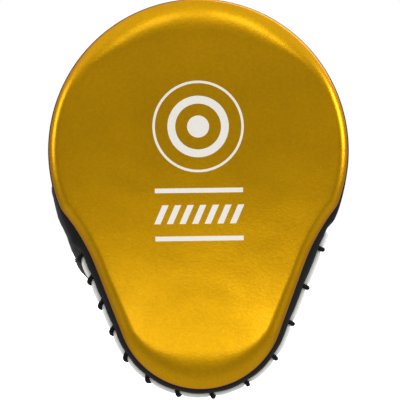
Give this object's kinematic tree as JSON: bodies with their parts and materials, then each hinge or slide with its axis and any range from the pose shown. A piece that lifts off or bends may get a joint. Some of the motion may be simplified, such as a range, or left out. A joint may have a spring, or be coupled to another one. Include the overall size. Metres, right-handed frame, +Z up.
{
  "type": "focus mitt",
  "caption": "Curved padded focus mitt for one hand: gold strike face on layered foam, laced piped edge, and a glove with finger and thumb stalls and a touch-fastened wrist strap behind.",
  "frame": {"origin": "middle of the hand pocket's mouth, at the cuff of the hood, where the hand goes in", "axes": "+Z up the mitt from the wrist to the fingertips, -Y out of the strike face towards the boxer, +X away from the thumb"},
  "size_m": [0.1919, 0.1095, 0.2557],
  "materials": {
    "gold_leather": "satin metallic faux leather with a fine grain",
    "white_print": "screen-printed ink",
    "black_leather": "semi-gloss black faux leather, fine grain",
    "white_piping": "satin off-white faux leather piping",
    "black_lace": "waxed braided lace",
    "soft_foam": "soft open foam",
    "firm_foam": "firm closed-cell foam",
    "dense_foam": "dense closed-cell foam that holds the curve",
    "lining_cloth": "brushed knit lining",
    "binding_tape": "woven edge tape",
    "elastic_webbing": "ribbed elastic webbing",
    "hook_tape": "moulded hook tape",
    "loop_tape": "brushed loop tape"
  },
  "bodies": {
    "mitt": {"face_cover": "gold_leather", "face_print": "white_print", "strike_foam": "soft_foam", "core_foam": "firm_foam", "backing_foam": "dense_foam", "side_gusset": "black_leather", "back_panel": "black_leather", "welt": "white_piping", "whip_lace": "black_lace", "palm_dome_cover": "black_leather", "palm_dome_foam": "soft_foam", "hood_shell": "black_leather", "hood_foam": "soft_foam", "hood_lining": "lining_cloth", "cuff_binding": "binding_tape", "knuckle_bridge": "black_leather", "index_stall": "black_leather", "middle_stall": "black_leather", "ring_stall": "black_leather", "little_stall": "black_leather", "thumb_gusset": "black_leather", "strap_anchor": "black_leather", "loop_tab": "black_leather", "loop_patch": "loop_tape"},
    "thumb": {"thumb_stall": "black_leather"},
    "strap": {"wrist_strap": "elastic_webbing"},
    "strap_end": {"strap_tip": "black_leather", "hook_patch": "hook_tape"}
  },
  "joints": [
    {"name": "thumb_tilt", "type": "hinge", "parent": "mitt", "child": "thumb", "pos_m": [-0.0673, 0.00424, 0.02498], "axis": [-0.9478, -0.0348, -0.3171], "range_deg": [0, 20]},
    {"name": "strap_swing", "type": "hinge", "parent": "mitt", "child": "strap", "pos_m": [0.041, -0.01811, -0.02088], "axis": [0, -0.2204, -0.9754], "range_deg": [0, 75]},
    {"name": "strap_peel", "type": "hinge", "parent": "strap", "child": "strap_end", "pos_m": [0.01485, 0.02188, -0.02992], "axis": [0, -0.2204, -0.9754], "range_deg": [0, 80]}
  ]
}
